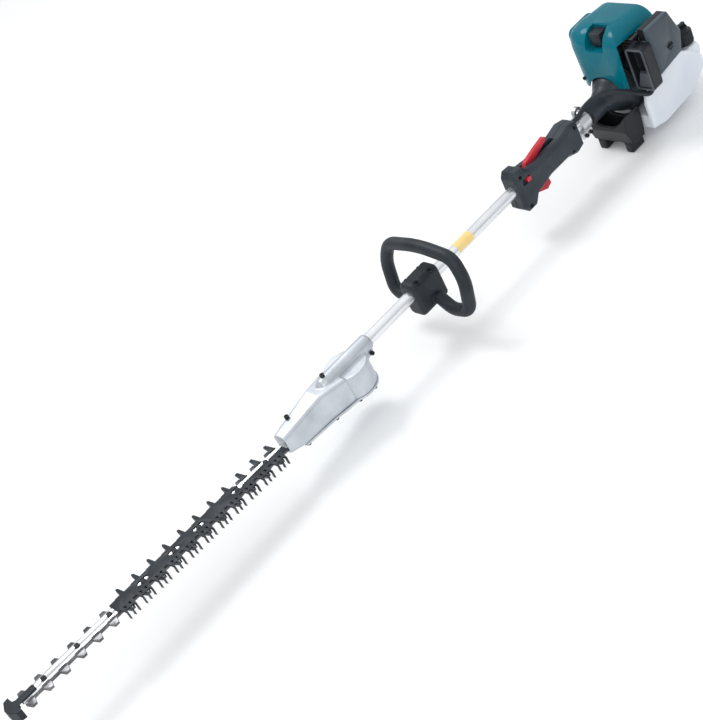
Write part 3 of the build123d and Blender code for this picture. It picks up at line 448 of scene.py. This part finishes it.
def rod(name, radius, start, end, sides=48):
    """A round bar between two points, in object mode."""
    bpy.ops.object.select_all(action="DESELECT")
    run = end - start
    bpy.ops.mesh.primitive_cylinder_add(vertices=sides, radius=radius, depth=run.length,
                                        location=(start + end) / 2,
                                        rotation=run.to_track_quat("Z", "Y").to_euler())
    piece = bpy.context.object
    piece.name = piece.data.name = name
    bpy.ops.object.transform_apply(location=True, rotation=True, scale=True)
    return piece


def edge_near(x=None, y=None, z=None, reach=0.0006):
    """A test for edges whose both ends lie on the given planes."""
    planes = [(axis, value) for axis, value in enumerate((x, y, z)) if value is not None]
    return lambda edge: all(abs(end.co[axis] - value) < reach for end in edge.verts for axis, value in planes)


cover = block("cover_shell", COVER_LOW, COVER_HIGH)
# the front leans back towards the top, and the right side draws in towards the bottom
shape = bmesh.from_edit_mesh(cover.data)
for corner in shape.verts:
    if corner.co.z > 0 and corner.co.x > -0.15:
        corner.co.x -= 0.006
    if corner.co.z < 0 and corner.co.y < 0:
        corner.co.y += 0.012
        corner.co.z += 0.009
    if corner.co.z < 0 and corner.co.y > 0:
        corner.co.z += 0.016
    if corner.co.z > 0 and corner.co.x < -0.15:
        corner.co.z -= 0.012
bmesh.update_edit_mesh(cover.data)
front_top = lambda edge: all(end.co.x > -0.12 and end.co.z > 0.1 for end in edge.verts)
right_front = lambda edge: all(end.co.x > -0.12 and end.co.y < 0 for end in edge.verts)
right_top = lambda edge: all(end.co.z > 0.09 and end.co.y < 0 for end in edge.verts)
left_top = lambda edge: all(end.co.z > 0.09 and end.co.y > 0 for end in edge.verts)
selected(cover, "EDGE",
         lambda edge: front_top(edge) or right_front(edge) or right_top(edge) or left_top(edge))
bpy.ops.mesh.bevel(offset=SHOULDER, segments=10, profile=0.5)
selected(cover, "EDGE", lambda edge: all(end.co.x < -0.2235 for end in edge.verts)
         and not all(end.co.z < -0.003 for end in edge.verts)
         and not all(end.co.y > 0.061 for end in edge.verts))
bpy.ops.mesh.bevel(offset=0.012, segments=4, profile=0.5)
bpy.ops.object.mode_set(mode="OBJECT")
recess = block("recess_cutter", RECESS_MIDDLE - Vector((0.014, RECESS[0] / 2, RECESS[1] / 2)),
               RECESS_MIDDLE + Vector((0.05, RECESS[0] / 2, RECESS[1] / 2)))
selected(recess, "EDGE", lambda edge: abs(edge.verts[0].co.x - edge.verts[1].co.x) > 0.01)
bpy.ops.mesh.bevel(offset=0.006, segments=4)
bpy.ops.object.mode_set(mode="OBJECT")
carved(cover, recess)
# the left and lower sides are open, and so is the rear round the starter
bpy.ops.object.mode_set(mode="EDIT")
selected(cover, "FACE", lambda face: face.normal.y > 0.95 and face.calc_center_median().y > 0.06
         or face.normal.z < -0.9 and face.calc_center_median().z < -0.003)
bpy.ops.mesh.delete(type="FACE")
bpy.ops.object.mode_set(mode="OBJECT")
modified(cover, "SOLIDIFY", thickness=COVER_WALL, offset=-1, use_even_offset=True)
carved(cover, rod("arch_cutter", ARCH_R, Vector((-0.112, 0, AXIS_Z)), Vector((-0.06, 0, AXIS_Z)), 96))
carved(cover, rod("starter_cutter", 0.060, Vector((-0.26, 0, AXIS_Z)), Vector((-0.200, 0, AXIS_Z)), 96))
modified(cover, "BEVEL", width=0.0008, segments=2, limit_method="ANGLE", angle_limit=math.radians(40))
bpy.ops.object.shade_smooth_by_angle(angle=math.radians(38))
cover_paint = finish("cover_paint", (0.0, 0.160, 0.215), (0.0, 0.135, 0.185), 0.26, patch=6, grain=260,
                     depth=0.000008, coat=0.22, shine=0.08, scuff=0.03)
settle(cover, "pole", "teal_cover", cover_paint, "engine_cover")

# the heat shield over the muffler: a shallow bulge clipped to the cover's right side
shield = block("muffler_shield", Vector((-0.216, -0.1050, 0.002)), Vector((-0.138, -0.079, 0.084)))
selected(shield, "EDGE", lambda edge: abs(edge.verts[0].co.y - edge.verts[1].co.y) > 0.005)
bpy.ops.mesh.bevel(offset=0.016, segments=6)
selected(shield, "EDGE", lambda edge: all(end.co.y < -0.104 for end in edge.verts))
bpy.ops.mesh.bevel(offset=0.012, segments=6, profile=0.5)
bpy.ops.object.mode_set(mode="OBJECT")
for step in range(5):
    slot_x = -0.196 + 0.0105 * step
    slot_end = Vector((slot_x, -0.1015, 0.020))
    carved(shield, rod("shield_slot", 0.0026, Vector((slot_x, -0.120, 0.020)), slot_end, 16))
modified(shield, "BEVEL", width=0.0015, segments=3, limit_method="ANGLE", angle_limit=math.radians(30))
bpy.ops.object.shade_smooth_by_angle(angle=math.radians(38))
settle(shield, "pole", "teal_cover", cover_paint)

# the plug cap: a moulded rubber boot with a square head, in the recess
boot = block("plug_boot", Vector((-0.136, -0.012, 0.079)), Vector((-0.1085, 0.015, 0.106)))
selected(boot, "FACE", lambda face: face.normal.x > 0.9)
bpy.ops.mesh.inset(thickness=0.003, depth=0.0015)
selected(boot, "FACE", lambda face: face.normal.z < -0.9)
bpy.ops.mesh.inset(thickness=0.004)
bpy.ops.mesh.extrude_region_move(TRANSFORM_OT_translate={"value": (0, 0, -0.006)})
bpy.ops.object.mode_set(mode="OBJECT")
modified(boot, "BEVEL", width=0.0024, segments=4, limit_method="ANGLE", angle_limit=math.radians(40))
bpy.ops.object.shade_smooth_by_angle(angle=math.radians(40))
settle(boot, "pole", "rubber_black", handle_rubber, "plug_cap")

# ---------------------------------------------------------------- air cleaner
# A black nylon box behind the cover with a snorkel to the front; a satin grey lid closes its side.
box_nylon = finish("box_nylon", (0.014, 0.018, 0.023), (0.008, 0.010, 0.014), 0.36, patch=18, grain=1000,
                   depth=0.00006)
lid_nylon = finish("lid_nylon", (0.066, 0.084, 0.104), (0.052, 0.066, 0.082), 0.32, patch=10, grain=1400,
                   depth=0.00004)
rim_nylon = finish("rim_nylon", (0.105, 0.118, 0.135), (0.070, 0.079, 0.092), 0.34, patch=16, grain=1300,
                   depth=0.00004)
settle(moulded("air_box_moulding", 0.001, 4, "air_box"), "pole", "black_plastic", box_nylon, "air_box")
lid = eased("cleaner_lid", 0.0012, "cleaner_cover")
settle(lid, "pole", "slate_satin", lid_nylon, "cleaner_cover")
settle(eased("cleaner_knob_moulding", 0.0005, "cleaner_knob"), "knob", "black_plastic", box_nylon,
       "cleaner_knob")

# a paler rim round the snorkel mouth, and the sloping step at the bottom of it
snorkel_low, snorkel_high = Vector((-0.1125, 0.0635, -0.0185)), Vector((-0.1095, 0.1065, 0.0745))
rim = block("snorkel_rim", snorkel_low, snorkel_high)
selected(rim, "EDGE", lambda edge: abs(edge.verts[0].co.x - edge.verts[1].co.x) > 0.002)
bpy.ops.mesh.bevel(offset=0.007, segments=5)
bpy.ops.object.mode_set(mode="OBJECT")
mouth = block("mouth_cutter", snorkel_low + Vector((-0.01, 0.0042, 0.0042)),
              snorkel_high - Vector((-0.01, 0.0042, 0.0042)))
selected(mouth, "EDGE", lambda edge: abs(edge.verts[0].co.x - edge.verts[1].co.x) > 0.002)
bpy.ops.mesh.bevel(offset=0.004, segments=4)
bpy.ops.object.mode_set(mode="OBJECT")
carved(rim, mouth)
modified(rim, "BEVEL", width=0.0008, segments=2, limit_method="ANGLE", angle_limit=math.radians(40))
bpy.ops.object.shade_smooth_by_angle(angle=math.radians(40))
settle(rim, "pole", "slate_satin", rim_nylon)
step_piece = block("snorkel_step", Vector((-0.1295, 0.0675, -0.0145)), Vector((-0.1135, 0.1025, 0.014)))
selected(step_piece, "EDGE", edge_near(x=-0.1135, z=0.014))
bpy.ops.transform.translate(value=(-0.006, 0, 0))
bpy.ops.transform.resize(value=(1, 0.62, 1))
bpy.ops.object.mode_set(mode="OBJECT")
modified(step_piece, "BEVEL", width=0.0010, segments=3, limit_method="ANGLE", angle_limit=math.radians(30))
bpy.ops.object.shade_smooth_by_angle(angle=math.radians(40))
settle(step_piece, "pole", "slate_satin", rim_nylon)

# ---------------------------------------------------------------- fuel tank and cap
# A blow-moulded tank of natural polyethylene, waxy and half clear, with a raised left flank;
# the black screw cap has grip ribs round its wall and a finger bar across its crown.
tank_wax = finish("tank_wax", (0.80, 0.83, 0.89), (0.72, 0.76, 0.83), 0.34, patch=7, grain=260, depth=0.00006)
tank_shader = tank_wax.node_tree.nodes["Principled BSDF"]
tank_shader.inputs["Subsurface Weight"].default_value = 0.35
tank_shader.inputs["Subsurface Radius"].default_value = (0.012, 0.012, 0.014)
tank_shader.inputs["Subsurface Scale"].default_value = 0.5
settle(moulded("tank_blown", 0.0015, 14, "fuel_tank"), "pole", "tank_plastic", tank_wax, "fuel_tank")

CAP_MIDDLE = Vector((-0.292, 0.042, -0.036))
CAP_R = 0.0222
CAP_TOP = 0.0245
cap = rod("cap_moulding", CAP_R, CAP_MIDDLE, CAP_MIDDLE + Vector((0, 0, CAP_TOP)), 72)
bpy.ops.object.mode_set(mode="EDIT")
# every third side of the wall stays back, and the sides between stand out as grip ribs
wall = [face for face in bmesh.from_edit_mesh(cap.data).faces if abs(face.normal.z) < 0.5]
outward = lambda face: face.calc_center_median() - CAP_MIDDLE
turn = lambda face: math.atan2(outward(face).y, outward(face).x)
ribs = {face.index for number, face in enumerate(sorted(wall, key=turn)) if number % 3}
selected(cap, "FACE", lambda face: face.index in ribs)
bpy.ops.mesh.extrude_region_shrink_fatten(TRANSFORM_OT_shrink_fatten={"value": -0.0014})
bpy.ops.object.mode_set(mode="OBJECT")
modified(cap, "BEVEL", width=0.0010, segments=2, limit_method="ANGLE", angle_limit=math.radians(35))
bpy.ops.object.shade_smooth_by_angle(angle=math.radians(40))
settle(cap, "tank_cap", "black_plastic", engine_nylon, "fuel_cap")
crown_foot, crown_top = CAP_MIDDLE + Vector((0, 0, CAP_TOP)), CAP_MIDDLE + Vector((0, 0, 0.0335))
crown = rod("cap_crown", 0.0188, crown_foot, crown_top, 64)
bpy.ops.object.mode_set(mode="EDIT")
selected(crown, "FACE", lambda face: face.normal.z > 0.9)
bpy.ops.transform.resize(value=(0.84, 0.84, 1), center_override=CAP_MIDDLE)
bpy.ops.mesh.inset(thickness=0.004)
bpy.ops.transform.translate(value=(0, 0, -0.002))
bpy.ops.object.mode_set(mode="OBJECT")
handle_bar = block("crown_bar", CAP_MIDDLE + Vector((-0.016, -0.0036, 0.030)),
                   CAP_MIDDLE + Vector((0.016, 0.0036, 0.0385)))
bpy.ops.object.mode_set(mode="OBJECT")
modified(crown, "BOOLEAN", object=handle_bar, operation="UNION", solver="EXACT")
bpy.data.objects.remove(handle_bar)
modified(crown, "BEVEL", width=0.0014, segments=3, limit_method="ANGLE", angle_limit=math.radians(35))
bpy.ops.object.shade_smooth_by_angle(angle=math.radians(40))
settle(crown, "tank_cap", "black_plastic", engine_nylon)

# ---------------------------------------------------------------- stand
# A ribbed nylon cradle bolted under the engine, with two rounded feet.
settle(moulded("stand_moulding", 0.0012, 5, "stand"), "pole", "black_plastic", engine_nylon, "stand")

# ---------------------------------------------------------------- starter
# A nylon housing with cooling slots behind the fan, and a rubber-coated pull.
settle(moulded("starter_case_moulding", 0.0013, 4, "starter_case"), "pole", "black_plastic", engine_nylon,
       "starter_case")
settle(moulded("starter_pull", 0.0008, 6, "starter_handle"), "pull_handle", "black_plastic", handle_rubber,
       "starter_handle")

# ---------------------------------------------------------------- throttle conduit
# A soft conduit with the throttle cable and the switch wires, which runs over the clutch case
# from the grip to the engine.
CONDUIT_ROUTE = ((0.0259, 0.010, -0.004), (0.008, 0.010, -0.004), (-0.018, 0.012, 0.007),
                 (-0.048, 0.026, 0.012), (-0.076, 0.050, 0.000), (-0.100, 0.074, -0.020),
                 (-0.122, 0.087, -0.036), (-0.124, 0.088, -0.0208))
route = bpy.data.curves.new("conduit_sleeve", "CURVE")
route.dimensions = "3D"
line = route.splines.new("NURBS")
line.points.add(len(CONDUIT_ROUTE) - 1)
for point, place in zip(line.points, CONDUIT_ROUTE):
    point.co = (*place, 1)
line.order_u = 3
line.use_endpoint_u = True
line.resolution_u = 16
route.bevel_depth = 0.0048
route.bevel_resolution = 6
route.use_fill_caps = True
conduit = bpy.data.objects.new("conduit_sleeve", route)
bpy.context.scene.collection.objects.link(conduit)
alone(conduit)
bpy.ops.object.convert(target="MESH")
conduit = bpy.context.object
bpy.ops.object.shade_smooth_by_angle(angle=math.radians(40))
settle(conduit, "pole", "rubber_black", handle_rubber, "throttle_conduit")
